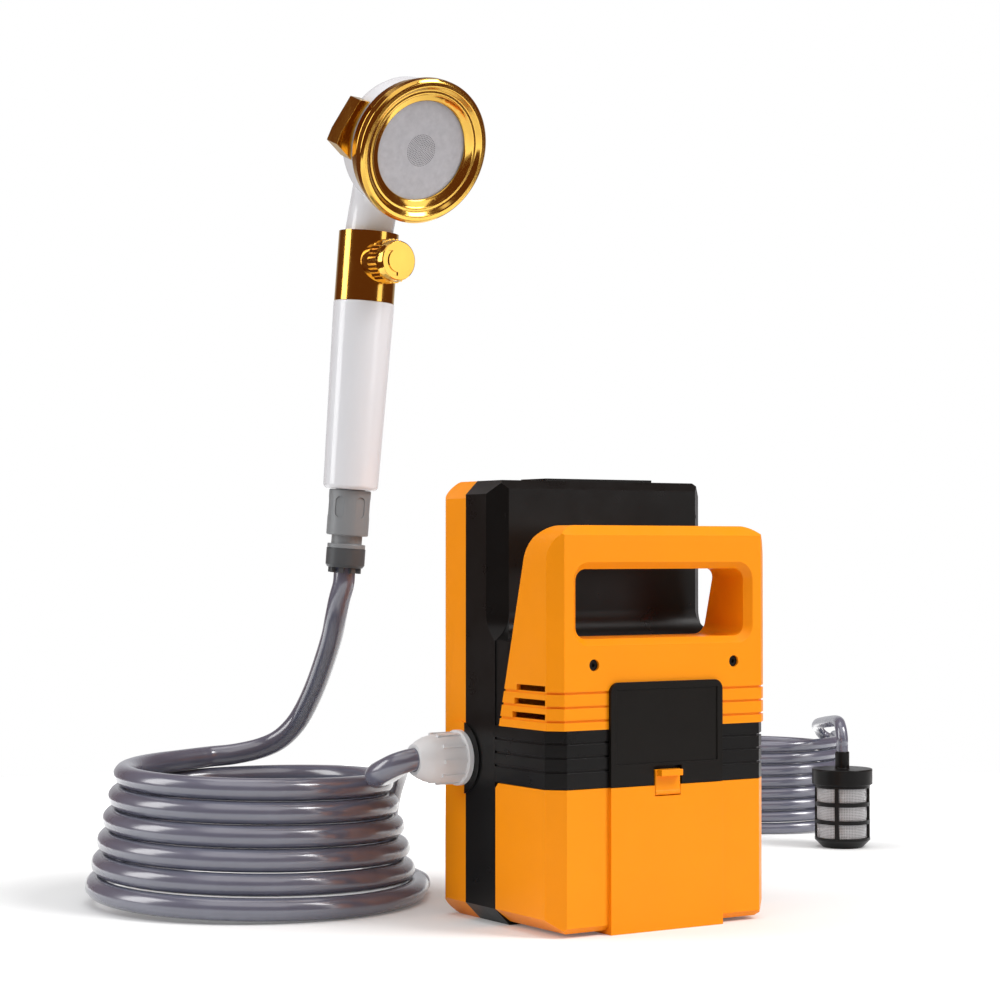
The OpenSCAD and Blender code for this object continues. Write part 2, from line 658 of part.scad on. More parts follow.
module front_housing() color(orange) difference() {
    union() {
        difference() {
            intersection() {
                along_y(y_front, front_d) union() {
                    translate([-half_w, housing_z]) square([body_w, handle_top - housing_z - corner_r]);
                    translate([-half_w + corner_r, housing_z])
                        square([body_w - 2 * corner_r, handle_top - housing_z]);
                    for (x = [-1, 1]) translate([x * (half_w - corner_r), handle_top - corner_r]) circle(corner_r);
                }
                along_x(-half_w, body_w) polygon([[y_front, housing_z], [y_front, handle_top - brow],
                    [y_front + brow, handle_top], [housing_back(handle_top) - 3, handle_top],
                    [housing_back(handle_top - 6), handle_top - 6], [housing_back(housing_z), housing_z]]);
                along_z(housing_z, handle_top - housing_z) front_plan(body_w, y_front, y_frame, housing_chamfer);
            }
            // hollow below the handle opening
            intersection() {
                along_x(-half_w + wall, body_w - 2 * wall) polygon([[y_front + wall, housing_z - 1],
                    [y_front + wall, grip_z - 2 * wall], [housing_back(grip_z) - wall, grip_z - 2 * wall],
                    [housing_back(housing_z) - wall * 1.1, housing_z], [housing_back(housing_z) - wall * 1.1, housing_z - 1]]);
                along_z(housing_z - 1, handle_top) front_plan(body_w - 2 * wall, y_front + wall, y_frame, housing_chamfer);
            }
        }
        for (x = [-1, 1]) intersection() {
            rod_y(x * screw_x, y_front + wall / 2, y_frame, screw_z, screw_r + 2);
            along_x(-half_w, body_w) polygon([[y_front, housing_z], [y_front, handle_top],
                [housing_back(handle_top) - 1, handle_top], [housing_back(housing_z) - 1, housing_z]]);
        }
    }
    // handle opening with its bevel
    translate([0, 0, grip_z + grip_h / 2]) {
        along_y(y_front - 1, front_d) rounded_rect(grip_w, grip_h, grip_r);
        hull() {
            along_y(y_front - 0.5, 0.5) rounded_rect(grip_w + 2 * grip_bevel, grip_h + 2 * grip_bevel, grip_r + grip_bevel);
            along_y(y_front + grip_bevel, 0.1) rounded_rect(grip_w, grip_h, grip_r);
        }
    }
    for (i = [0:2]) rib_groove(housing_z + 4 + i * rib_pitch, housing_chamfer);
    // vent slots, longer towards the bottom
    for (i = [0:2]) translate([-half_w - 1, y_front + housing_chamfer + 1, housing_z + 4 + rib_gap + i * rib_pitch])
        cube([wall + 2, vent_l + (2 - i) * 2, vent_h]);
    for (x = [-1, 1]) {
        rod_y(x * screw_x, y_front - 1, y_front + 3.5, screw_z, screw_r + 0.2);
        rod_y(x * screw_x, y_front, y_front + screw_l + 2, screw_z, screw_core + 0.1);
    }
    translate([half_w - wall - 1, switch_y - switch_w / 2, switch_z - switch_h / 2]) cube([wall + 2, switch_w, switch_h]);
    wire_way();
}

module handle_screws() color(black) for (x = [-1, 1]) difference() {
    union() {
        rod_y(x * screw_x, y_front + 1.3, y_front + 3.5, screw_z, screw_r);
        rod_y(x * screw_x, y_front + 2, y_front + screw_l, screw_z, screw_core);
    }
    rod_y(x * screw_x, y_front, y_front + 2.3, screw_z, screw_r * 0.4);
}

// Room for the latch tab in the band and in the label panel
module latch_room() translate([latch_x - latch_w / 2 - 1, y_front - panel_t - 1, band_z - 1])
    cube([latch_w + 2, latch_y + latch_t / 2 + gap - (y_front - panel_t - 1), latch_rise + 2.5]);

module ribbed_band() color(black) difference() {
    along_z(band_z, band_h) front_plan(body_w, y_front, y_frame, box_chamfer);
    along_z(band_z - 1, band_h - wall + 1) front_plan(body_w - 2 * wall, y_front + wall, y_frame - wall, box_chamfer);
    for (i = [1:3]) rib_groove(housing_z - i * rib_pitch, box_chamfer);
    latch_room();
    rod_x(half_w - wall - 1, half_w + 1, switch_y, socket_z, socket_r + 0.1);
    translate([-cell_pitch * 0.75, cell_y - cell_pitch * 0.4, housing_z - wall - 1])
        cube([cell_pitch * 1.5, cell_pitch * 0.8, wall + 2]);
}

module label_panel() color(black) difference() {
    along_y(y_front - panel_t, panel_t) {
        translate([-panel_w / 2, band_z]) square([panel_w, panel_top - band_z - 5]);
        translate([-panel_w / 2 + 5, band_z]) square([panel_w - 10, panel_top - band_z]);
        for (x = [-1, 1]) translate([x * (panel_w / 2 - 5), panel_top - 5]) circle(5);
    }
    translate([-panel_w / 2 + panel_border, y_front - panel_t - 1, band_z + latch_rise + 3])
        cube([panel_w - 2 * panel_border, 1.6, panel_top - panel_border - band_z - latch_rise - 3]);
    latch_room();
}

module battery_drawer() color(orange) difference() {
    union() {
        intersection() {
            along_y(y_front, front_d - gap) polygon([[-half_w + base_chamfer, drawer_lift],
                [half_w - base_chamfer, drawer_lift], [half_w, base_chamfer], [half_w, drawer_h],
                [-half_w, drawer_h], [-half_w, base_chamfer]]);
            along_z(0, drawer_h) front_plan(body_w, y_front, y_frame - gap, box_chamfer);
            along_x(-half_w, body_w) polygon([[y_front + drawer_toe, drawer_lift], [y_frame, drawer_lift],
                [y_frame, drawer_h - 3], [y_frame - 3, drawer_h], [y_front, drawer_h],
                [y_front, drawer_lift + drawer_toe]]);
        }
        along_y(y_front - panel_t, panel_t + 0.5) translate([-panel_w / 2, 0]) square([panel_w, drawer_h]);
        // foot that the drawer stands on, as wide as its panel
        translate([-panel_w / 2, y_front - panel_t, 0])
            cube([panel_w, panel_t + front_d - gap, drawer_lift + wall / 2]);
    }
    intersection() {
        along_y(y_front + wall, front_d - gap - 2 * wall) polygon([
            [-half_w + wall + base_chamfer, drawer_lift + wall], [half_w - wall - base_chamfer, drawer_lift + wall],
            [half_w - wall, wall + base_chamfer], [half_w - wall, body_h],
            [-half_w + wall, body_h], [-half_w + wall, wall + base_chamfer]]);
        along_z(0, body_h) front_plan(body_w - 2 * wall, y_front + wall, y_frame, box_chamfer);
    }
    // pocket of the latch, and its pin's seat
    translate([latch_x - latch_w / 2 - gap, y_front - panel_t - 1, pivot_z - knuckle_r - gap])
        cube([latch_w + 2 * gap, pocket_y - (y_front - panel_t - 1), latch_drop + knuckle_r + gap + 1]);
    rod_x(latch_x - latch_w / 2 - 2, latch_x + latch_w / 2 + 2, latch_y, pivot_z, latch_pin_r);
    // windows in the back wall for the rails and the contacts
    for (x = [-1, 1]) translate([x * (rail_x + rail_w / 2) - rail_w / 2 - gap, y_frame - wall - 2, rail_z - gap])
        cube([rail_w + 2 * gap, wall + 3, rail_h + 2 * gap]);
    translate([-contact_pitch / 2 - 5, y_frame - wall - 2, contact_z - contact_h / 2 - 2])
        cube([contact_pitch + 10, wall + 3, contact_h + 4]);
}

module latch_tab() color(orange) difference() {
    union() {
        translate([latch_x - latch_w / 2, latch_y - latch_t / 2, pivot_z])
            cube([latch_w, latch_t, latch_drop + latch_rise]);
        rod_x(latch_x - latch_w / 2, latch_x + latch_w / 2, latch_y, pivot_z, knuckle_r);
        translate([latch_x - latch_w / 2 + 1, latch_y - latch_t / 2 - latch_lip, drawer_h + latch_rise - 3.2])
            cube([latch_w - 2, latch_lip + 0.5, 3.2]);
    }
    rod_x(latch_x - latch_w, latch_x + latch_w, latch_y, pivot_z, latch_pin_r + running);
}

module latch_pin() color(steel) rod_x(latch_x - latch_w / 2 - 2, latch_x + latch_w / 2 + 2, latch_y, pivot_z, latch_pin_r);

module each_cell() for (i = [0:cell_n - 1], j = [-0.5, 0.5])
    translate([(i - (cell_n - 1) / 2) * cell_pitch, cell_y + j * cell_pitch, 0]) children();

module cell_tray() color(black) difference() {
    translate([-tray_w / 2, cell_y - tray_d / 2, drawer_lift + wall]) cube([tray_w, tray_d, tray_h]);
    each_cell() translate([0, 0, cell_z]) cylinder(r = cell_r + 0.1, h = tray_h);
}

module battery_cells() color("seagreen") each_cell() translate([0, 0, cell_z]) cylinder(r = cell_r, h = cell_l);

module battery_board() color("darkgreen") translate([-tray_w / 2, cell_y - tray_d / 2, cell_z + cell_l])
    cube([tray_w, tray_d, board_t]);

module battery_contacts() color("gold") for (x = [-1, 1])
    translate([(x * contact_pitch - contact_w) / 2, y_frame - contact_w, contact_z - contact_h / 2])
        cube([contact_w, contact_w, contact_h]);

module drawer_rails() color(black) for (x = [-1, 1])
    translate([x * (rail_x + rail_w / 2) - rail_w / 2, y_frame - rail_l, rail_z]) cube([rail_w, rail_l, rail_h]);

module control_board() color("darkgreen") {
    translate([-board_w / 2, board_y, housing_z]) cube([board_w, board_d, board_t]);
    translate([-board_w / 2 + relay * 0.7, board_y + relay / 3, housing_z + board_t]) cube([relay * 1.3, relay, relay]);
    translate([board_w / 2 - relay * 1.3, board_y + relay, housing_z + board_t]) cylinder(r = relay * 0.4, h = relay);
}

// Rocker switch on the right side of the housing
module switch_frame() color(black) difference() {
    union() {
        translate([half_w - 14, switch_y - switch_w / 2 + 0.1, switch_z - switch_h / 2 + 0.1])
            cube([14, switch_w - 0.2, switch_h - 0.2]);
        translate([half_w, switch_y - switch_w / 2 - 2, switch_z - switch_h / 2 - 2])
            cube([1.2, switch_w + 4, switch_h + 4]);
    }
    translate([half_w - 8, switch_y - switch_w / 2 + 1.5, switch_z - switch_h / 2 + 1.5])
        cube([14, switch_w - 3, switch_h - 3]);
}

module power_rocker() color("firebrick") translate([rocker_x, switch_y, switch_z]) rotate([0, -rocker_tilt, 0])
    along_y(-switch_w / 2 + 1.5 + gap, switch_w - 3 - 2 * gap) intersection() {
        circle(switch_h / 2 - 1.5 - gap);
        polygon([[-5, -switch_h], [3, -switch_h], [0.8, 0], [3, switch_h], [-5, switch_h]]);
    }

module charge_socket() color(black) difference() {
    union() {
        rod_x(half_w - socket_l, half_w, switch_y, socket_z, socket_r);
        rod_x(half_w, half_w + 1, switch_y, socket_z, socket_r + 1.5);
    }
    rod_x(half_w - socket_l + 2, half_w + 2, switch_y, socket_z, socket_bore);
}

module pump_bracket() color(steel) {
    translate([-head_w / 2 - 4, y_frame + wall, head_z - bracket_t])
        cube([head_w + 8, port_y + head_d / 2 - y_frame - wall, bracket_t]);
    translate([-head_w / 2 - 4, y_frame + wall, head_z - bracket_h])
        cube([head_w + 8, bracket_t, bracket_h - bracket_t]);
}

module pump_head() color(black) difference() {
    translate([-head_w / 2, port_y - head_d / 2, head_z]) cube([head_w, head_d, head_h]);
    for (s = [0, 1]) mirror([s, 0, 0]) {
        rod_x(-head_w / 2 - 1, -head_w / 4, port_y, port_z, nipple_bore);
        translate([-head_w / 4, port_y, port_z]) cylinder(r = nipple_bore, h = head_h);
    }
}

module pressure_switch() color(grey) {
    rod_y(0, port_y - head_d / 2 - 8, port_y - head_d / 2, port_z, 6);
    for (x = [-3, 2]) translate([x, port_y - head_d / 2 - 11, port_z - 2]) cube([1, 3, 4]);
}

module valve_plate() color("ivory") difference() {
    translate([-head_w / 2, port_y - head_d / 2, valve_z]) cube([head_w, head_d, valve_t]);
    for (s = [-1, 1]) translate([s * head_w / 4, port_y, valve_z - 1]) cylinder(r = nipple_bore, h = valve_t + 2);
}

module diaphragm() color(black) along_z(diaphragm_z, diaphragm_t)
    translate([0, port_y]) rounded_rect(head_w, head_d, 4);

module wobble_plate() color("ivory") translate([0, port_y, crank_z]) cylinder(r = crank_r - 1, h = wobble_t);

module crank_case() color(black) difference() {
    translate([-head_w / 2 + 3, port_y - head_d / 2, crank_z]) cube([head_w - 6, head_d, crank_h]);
    translate([0, port_y, crank_z - 1]) cylinder(r = crank_r, h = crank_h - 2);
    translate([0, port_y, crank_z]) cylinder(r = shaft_r + 1, h = crank_h + 1);
}

module motor_can() color(steel) difference() {
    union() {
        translate([0, port_y, motor_z]) cylinder(r = motor_r, h = motor_l);
        translate([0, port_y, motor_z + motor_l]) cylinder(r = motor_r * 0.35, h = 2);
    }
    translate([0, port_y, motor_z - 1]) cylinder(r = shaft_r + running, h = motor_l + 4);
}

module motor_shaft() color("dimgray") {
    translate([0, port_y, ecc_z]) cylinder(r = shaft_r, h = motor_z + motor_l + 4 - ecc_z);
    translate([ecc_throw, port_y, ecc_z]) cylinder(r = ecc_r, h = ecc_h);
}

module motor_leads() color("crimson") for (s = [-1, 1]) tube([
    [s * motor_r * 0.6, port_y, motor_z + motor_l], [s * motor_r * 0.6, port_y, motor_z + motor_l + 6],
    [s * 2, y_frame + wall + 5, motor_z + motor_l + 6], [s * 2, y_frame + wall + 5, housing_z + 5],
    [s * 2, board_y + board_d - 4, housing_z + 5], [s * 2, board_y + board_d - 4, housing_z + board_t]], 0.9, 6);

module nipple(end_x) difference() {
    union() {
        rod_x(-end_x, -head_w / 2, port_y, port_z, nipple_r);
        rod_x(-half_w + wall, -half_w + wall + 2, port_y, port_z, nipple_r + 4);
    }
    rod_x(-end_x - 1, -head_w / 2 + 1, port_y, port_z, nipple_bore);
}

// Domed hose nut with a flange and grip ribs, standing up from its flange
module hose_nut(flange_r, r, l, hose_r, ribs) difference() {
    union() {
        rotate_extrude() polygon([[1, 0], [flange_r, 0], [flange_r, flange_t - 0.6], [flange_r - 0.6, flange_t],
            [r, flange_t], [r, l * 0.45], [r - 0.4, l * 0.6], [r - 1.3, l * 0.75], [r - 2.9, l * 0.88],
            [hose_r + 2, l], [1, l]]);
        for (i = [0:ribs - 1]) rotate([0, 0, 360 * i / ribs + 15])
            translate([r - 0.8, -0.9, flange_t - 0.5]) cube([1.5, 1.8, l * 0.5]);
    }
    translate([0, 0, -1]) cylinder(r = nipple_r + gap, h = l - hose_grip + 1);
    translate([0, 0, l - hose_grip]) cylinder(r = hose_r + gap, h = hose_grip + 1);
    translate([0, 0, -1]) cylinder(r = min(hose_r, nipple_r), h = l + 2);
}

module outlet_nipple() color(black) nipple(boss_x + nut_l - hose_grip);
module intake_nipple() color(black) mirror([1, 0, 0]) nipple(boss_x + in_nut_l - hose_grip);
module outlet_nut() color(grey) translate([-boss_x, port_y, port_z]) rotate([0, -90, 0])
    hose_nut(nut_flange_r, nut_r, nut_l, out_r, 10);
module intake_nut() color(grey) translate([boss_x, port_y, port_z]) rotate([0, 90, 0])
    hose_nut(in_flange_r, in_nut_r, in_nut_l, in_r, 10);

// Hose clamp nut: a knurled ring with claws round the hose
module clamp_nut() color("dimgray") place_shower() difference() {
    union() {
        rotate_extrude() polygon([[out_r - 1, clamp_z], [clamp_r - 1, clamp_z], [clamp_r, clamp_z + 1.5],
            [clamp_r, body_z], [out_r - 1, body_z]]);
        for (i = [0:7]) rotate([0, 0, 45 * i]) translate([out_r + 0.8, -1.4, 0]) cube([2.2, 2.8, claw_l + 1]);
    }
    cylinder(r = out_r + gap, h = 3 * body_z, center = true);
}

module quick_body() color(grey) place_shower() difference() {
    union() {
        translate([0, 0, hose_top_z]) cylinder(r = out_r - 1.5, h = body_z - hose_top_z + 1);
        translate([0, 0, body_z]) cylinder(r = clamp_r - 0.3, h = quick_flange);
        translate([0, 0, body_z]) cylinder(r = quick_r, h = handle_z - 2.5 - body_z);
    }
    cylinder(r = out_r - 3.5, h = handle_z);
    translate([0, 0, socket_floor]) cylinder(r = plug_r + running, h = handle_z);
}

module quick_sleeve() color(grey) place_shower() difference() {
    translate([0, 0, sleeve_z]) rotate_extrude() polygon([[quick_r + gap, 0], [sleeve_r - 0.5, 0], [sleeve_r, 0.6],
        [sleeve_r, sleeve_l - 0.6], [sleeve_r - 0.5, sleeve_l], [quick_r + gap, sleeve_l]]);
    for (i = [0:5]) rotate([0, 0, 60 * i + 30]) for (z = [-3, 3])
        translate([sleeve_r - 0.7, 0, sleeve_z + sleeve_l * 0.62 + z]) rotate([0, 90, 0]) cylinder(r = 2.8, h = 3);
    for (i = [0:5]) rotate([0, 0, 60 * i + 30])
        translate([sleeve_r - 0.7, -2.8, sleeve_z + sleeve_l * 0.62 - 3]) cube([3, 5.6, 6]);
}

module socket_seal() color(black) place_shower() translate([0, 0, socket_floor]) difference() {
    cylinder(r = plug_r - 0.2, h = plug_z - socket_floor - gap);
    translate([0, 0, -1]) cylinder(r = out_r - 3, h = 3);
}

module handle_plug() color(grey) place_shower() difference() {
    union() {
        translate([0, 0, plug_z]) cylinder(r = plug_r, h = handle_z - plug_z);
        translate([0, 0, handle_z - 2.5 + gap]) cylinder(r = quick_r - gap, h = 2.5 - gap);
        translate([0, 0, handle_z]) cylinder(r = handle_bore - running, h = 10);
    }
    cylinder(r = out_r - 3, h = collar_z);
}

module shower_handle() color(white) place_shower() rotate_extrude() polygon([[handle_bore, handle_z],
    [handle_low_r - 1.5, handle_z], [handle_low_r, handle_z + 1.5], [handle_top_r, collar_z], [handle_bore, collar_z]]);

module flow_collar() color(gold) place_shower() difference() {
    union() {
        translate([0, 0, collar_z]) cylinder(r = collar_r, h = collar_l);
        rod_y(0, -collar_r - 2, 0, knob_z, knob_r - 0.6);
    }
    translate([0, 0, collar_z - 1]) cylinder(r = handle_bore - 4, h = collar_l + 2);
    rod_y(0, -collar_r - 3, handle_bore, knob_z, spindle_r + running);
}

module flow_knob() color(gold) place_shower() difference() {
    union() {
        along_y(-knob_reach + 5, knob_reach - 5 - collar_r - 2 - gap) translate([0, knob_z])
            polygon([for (i = [0:2 * knob_teeth - 1]) let (a = 180 * i / knob_teeth, r = knob_r - (i % 2) * 0.7)
                [r * cos(a), r * sin(a)]]);
        translate([0, -knob_reach, knob_z]) rotate([-90, 0, 0]) rotate_extrude()
            polygon([[0, 0], [knob_r - 2, 0], [knob_r - 1.5, 0.4], [knob_r - 0.8, 4.4], [knob_r - 0.8, 5.2], [0, 5.2]]);
    }
    rod_y(0, -knob_reach + 6, 0, knob_z, spindle_r);
    // curved mark on the face
    intersection() {
        difference() {
            rod_y(0, -knob_reach - 1, -knob_reach + 0.8, knob_z, knob_r * 0.68);
            rod_y(0, -knob_reach - 1, -knob_reach + 1, knob_z, knob_r * 0.52);
        }
        translate([-2 * knob_r, -knob_reach - 1, knob_z - knob_r]) cube([2 * knob_r, 3, knob_r * 1.4]);
    }
}

module valve_spindle() color("gold") place_shower() rod_y(0, -knob_reach + 6, handle_bore - 0.5, knob_z, spindle_r);

// Head of the shower: everything turns round the axis of the spray face
ring_z = -rim_t;
shell_z = ring_z - ring_t;
dome = [for (a = [0:15:90]) [(shell_r - 10) + 10 * cos(a), shell_z - (shell_d - 10) - 10 * sin(a)]];

module shower_head() color(white) place_shower() difference() {
    union() {
        place_face() rotate_extrude() polygon(concat([[0, shell_z], [shell_r, shell_z]], dome, [[0, shell_z - shell_d]]));
        hull() {
            translate([0, 0, neck_z]) cylinder(r = head_neck_r, h = 1, $fn = 32);
            translate([0, -3, neck_z + 16]) rotate([face_tilt, 0, 0]) cylinder(r = head_neck_r, h = 1, $fn = 32);
        }
        hull() {
            translate([0, -3, neck_z + 16]) rotate([face_tilt, 0, 0]) cylinder(r = head_neck_r, h = 1, $fn = 32);
            place_face() translate([0, 0, shell_z - shell_d + 2]) cylinder(r = shell_r - 14, h = 6, $fn = 32);
        }
    }
    place_face() translate([0, 0, shell_z - 6]) cylinder(r = shell_r - 4, h = 8);
}

module mode_ring() color(gold) place_shower() place_face() rotate_extrude()
    polygon([[shell_r - 5, shell_z], [shell_r + 1, shell_z], [rim_r - 1.6, ring_z - 0.8], [rim_r - 2.4, ring_z],
        [shell_r - 5, ring_z]]);

module mode_lever() color(gold) place_shower() place_face() translate([0, 0, shell_z - 2 - lever_d]) linear_extrude(lever_d)
    difference() {
        polygon([[-lever_reach + 8, lever_top], [-lever_reach + 1.2, 0.5], [-lever_reach, -lever_top / 3],
            [-shell_r + 2, -lever_top * 0.7], [-shell_r / 2, -lever_top / 2], [-shell_r / 2, lever_top / 2],
            [-shell_r + 6, lever_top]]);
        circle(shell_r + gap);
    }

module head_rim() color(gold) place_shower() place_face() rotate_extrude() polygon([[rim_r - 3, ring_z],
    [rim_r, ring_z + 2], [rim_r, -1.5], [rim_r - 1.5, 0], [rim_r - 4, 0], [plate_r + 6.5, -1.8], [plate_r + 4.5, -1.8],
    [plate_r + 3.5, -2.6], [plate_r + 0.5, -3.4], [plate_r, -4.5], [plate_r + 2.1, -4.5], [plate_r + 2.1, ring_z]]);

module spray_plate() color(steel) place_shower() place_face() difference() {
    translate([0, 0, -6.5]) cylinder(r = plate_r + 2, h = 2);
    for (ring = [1:3], i = [0:6 * ring - 1]) rotate(60 * i / ring)
        translate([ring * plate_r * 0.11, 0, -7]) cylinder(r = 0.6, h = 3, $fn = 16);
}

module outlet_hose_lead() color(smoke) tube(route(out_lead_route, 2), out_r, 8);
module outlet_hose_coil() color(smoke) tube(out_coil_line, out_r, 6);
module outlet_hose_riser() color(smoke) tube(route(out_riser_route, 2), out_r, 8);
module intake_hose_lead() color(smoke) tube(route(in_lead_route, 2), in_r, 8);
module intake_hose_coil() color(smoke) tube(in_coil_line, in_r, 6);
module intake_hose_loop() color(smoke) tube(route(in_loop_route, 2), in_r, 8);

// Strainer: cap with a neck, open cage and a mesh sleeve inside it
module strainer_cap() color(black) translate(strainer_at) {
    translate([0, 0, cage_h]) cylinder(r = cap_r, h = cap_h);
    translate([0, 0, cage_h + cap_h]) cylinder(r = neck_r, h = strainer_neck_l);
}

module strainer_cage() color(black) translate(strainer_at) {
    floor_z = cage_chamfer + 1;
    row = (cage_h - floor_z) / 3;
    difference() {
        rotate_extrude() polygon([[0, 0], [cage_r - cage_chamfer, 0], [cage_r, cage_chamfer], [cage_r, cage_h],
            [cage_r - cage_wall, cage_h], [cage_r - cage_wall, floor_z], [0, floor_z]]);
        // three rows of windows between the upright ribs
        for (i = [0:2]) translate([0, 0, floor_z + 0.6 + i * row]) difference() {
            cylinder(r = cage_r + 1, h = row - cage_rib);
            for (a = [0, 90]) rotate(coil_turn - 20 + a) translate([-2 * cage_r, -cage_rib / 2, -1])
                cube([4 * cage_r, cage_rib, row + 2]);
        }
    }
}

module strainer_mesh() color(steel) translate(strainer_at + [0, 0, cage_chamfer + 1]) difference() {
    cylinder(r = cage_r - cage_wall - 0.1, h = cage_h - cage_chamfer - 1);
    translate([0, 0, -1]) cylinder(r = cage_r - cage_wall - 0.7, h = cage_h);
}

rear_cover();
centre_frame();
front_housing();
ribbed_band();
label_panel();
handle_screws();
cover_screws();
battery_drawer();
cell_tray();
battery_cells();
battery_board();
battery_contacts();
drawer_rails();
latch_tab();
latch_pin();
control_board();
power_rocker();
switch_frame();
charge_socket();
pump_bracket();
pump_head();
pressure_switch();
valve_plate();
diaphragm();
wobble_plate();
crank_case();
motor_can();
motor_shaft();
motor_leads();
outlet_nipple();
outlet_nut();
intake_nipple();
intake_nut();
clamp_nut();
quick_body();
quick_sleeve();
socket_seal();
handle_plug();
shower_handle();
flow_collar();
flow_knob();
valve_spindle();
shower_head();
mode_ring();
mode_lever();
head_rim();
spray_plate();
outlet_hose_lead();
outlet_hose_coil();
outlet_hose_riser();
intake_hose_lead();
intake_hose_coil();
intake_hose_loop();
strainer_cap();
strainer_cage();
strainer_mesh();
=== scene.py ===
import bpy, bmesh, json, math
from mathutils import Matrix, Vector as V

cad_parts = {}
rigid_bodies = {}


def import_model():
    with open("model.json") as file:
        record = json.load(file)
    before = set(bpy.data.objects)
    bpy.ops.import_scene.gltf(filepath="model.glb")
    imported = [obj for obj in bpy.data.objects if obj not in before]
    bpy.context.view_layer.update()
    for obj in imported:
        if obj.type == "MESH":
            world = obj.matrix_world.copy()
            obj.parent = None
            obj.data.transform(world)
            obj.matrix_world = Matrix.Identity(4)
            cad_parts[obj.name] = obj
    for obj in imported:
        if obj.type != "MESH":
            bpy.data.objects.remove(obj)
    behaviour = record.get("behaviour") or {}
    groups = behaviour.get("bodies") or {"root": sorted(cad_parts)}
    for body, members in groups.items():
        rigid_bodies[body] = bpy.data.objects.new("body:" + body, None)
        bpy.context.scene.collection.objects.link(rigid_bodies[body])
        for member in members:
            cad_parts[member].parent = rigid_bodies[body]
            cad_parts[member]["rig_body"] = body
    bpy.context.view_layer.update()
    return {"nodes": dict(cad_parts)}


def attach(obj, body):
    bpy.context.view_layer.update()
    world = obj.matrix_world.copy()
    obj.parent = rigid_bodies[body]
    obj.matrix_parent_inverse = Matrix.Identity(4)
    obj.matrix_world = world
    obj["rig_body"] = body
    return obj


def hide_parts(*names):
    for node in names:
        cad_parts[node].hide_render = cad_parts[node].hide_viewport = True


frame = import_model()
scene = bpy.context.scene
scene.view_settings.view_transform = "Standard"
MM = 0.001
UP = V((0, 0, 1))


def link(ob):
    scene.collection.objects.link(ob)
    return ob


def rotation(degrees, axis):
    return Matrix.Rotation(math.radians(degrees), 4, axis)


def circle(radius, sides, at):
    x, y, z = at
    angles = [math.tau * k / sides for k in range(sides)]
    return [(x + radius * math.cos(a), y + radius * math.sin(a), z) for a in angles]


# Camera at the photograph's viewing angle: its place in millimetres, its angles in degrees
CAMERA_AT = V((-728.4, -1039.6, 192.1))
CAMERA_HEADING, CAMERA_TILT = 32.508, 1.215
FOCAL_LENGTH, SENSOR = 86.4, 36

lens = bpy.data.cameras.new("camera")
lens.sensor_fit = "HORIZONTAL"
lens.sensor_width = SENSOR
lens.sensor_height = SENSOR
lens.lens = FOCAL_LENGTH
lens.clip_start, lens.clip_end = 0.05, 50
camera = link(bpy.data.objects.new("camera", lens))
camera_turn = rotation(-CAMERA_HEADING, "Z") @ rotation(90 + CAMERA_TILT, "X")
camera.matrix_world = Matrix.Translation(CAMERA_AT * MM) @ camera_turn
scene.camera = camera

# Materials: most of a noise's surface lies between these two of its values
NOISE_LOW, NOISE_HIGH = 0.3, 0.7
NOISE_ROUGHNESS = 0.55


# A node tree, with short ways to add its nodes and join them
class Nodes:
    def __init__(self, tree):
        self.tree = tree

    def join(self, value, socket):
        if isinstance(value, bpy.types.NodeSocket):
            self.tree.links.new(value, socket)
        else:
            socket.default_value = value

    def put(self, node, inputs):
        for key, value in inputs.items():
            self.join(value, node.inputs[key.replace("_", " ")])

    def add(self, kind, **inputs):
        node = self.tree.nodes.new(kind)
        self.put(node, inputs)
        return node

    def maths(self, kind, operation, *values):
        node = self.add(kind)
        node.operation = operation
        for value, socket in zip(values, node.inputs):
            self.join(value, socket)
        return node

    def span(self, fac, low, high, start=NOISE_LOW, end=NOISE_HIGH):
        node = self.add("ShaderNodeMapRange", Value=fac, From_Min=start, From_Max=end,
                        To_Min=low, To_Max=high)
        return node.outputs["Result"]

    def blend(self, fac, first, second):
        return self.add("ShaderNodeMixRGB", Fac=fac, Color1=first, Color2=second).outputs["Color"]

    # The camera's own rays, and these together with mirrored and refracted ones
    def rays(self):
        path = self.add("ShaderNodeLightPath")
        direct = path.outputs["Is Camera Ray"]
        shown = direct
        for other in ("Is Glossy Ray", "Is Transmission Ray"):
            total = self.maths("ShaderNodeMath", "ADD", shown, path.outputs[other])
            total.use_clamp = True
            shown = total.outputs["Value"]
        return direct, shown


# A material and its node tree
class Finish(Nodes):
    def __init__(self, name):
        self.mat = bpy.data.materials.new(name)
        self.mat.use_nodes = True
        super().__init__(self.mat.node_tree)
        self.bsdf = self.tree.nodes["Principled BSDF"]
        self.coords = self.add("ShaderNodeTexCoord").outputs["Object"]

    def noise(self, scale, detail):
        node = self.add("ShaderNodeTexNoise", Vector=self.coords, Scale=scale, Detail=detail,
                        Roughness=NOISE_ROUGHNESS)
        return node.outputs["Fac"]

    def tint(self, fac, dark, light):
        node = self.add("ShaderNodeValToRGB", Fac=fac)
        stops = ((NOISE_LOW, dark), (NOISE_HIGH, light))
        for element, (place, colour) in zip(node.color_ramp.elements, stops):
            element.position = place
            element.color = (*colour, 1)
        return node.outputs["Color"]

    def set(self, **values):
        self.put(self.bsdf, values)

    def bump(self, height, strength, distance):
        node = self.add("ShaderNodeBump", Height=height, Strength=strength, Distance=distance)
        self.set(Normal=node.outputs["Normal"])


def shade(colour, factor):
    return tuple(min(1, c * factor) for c in colour)


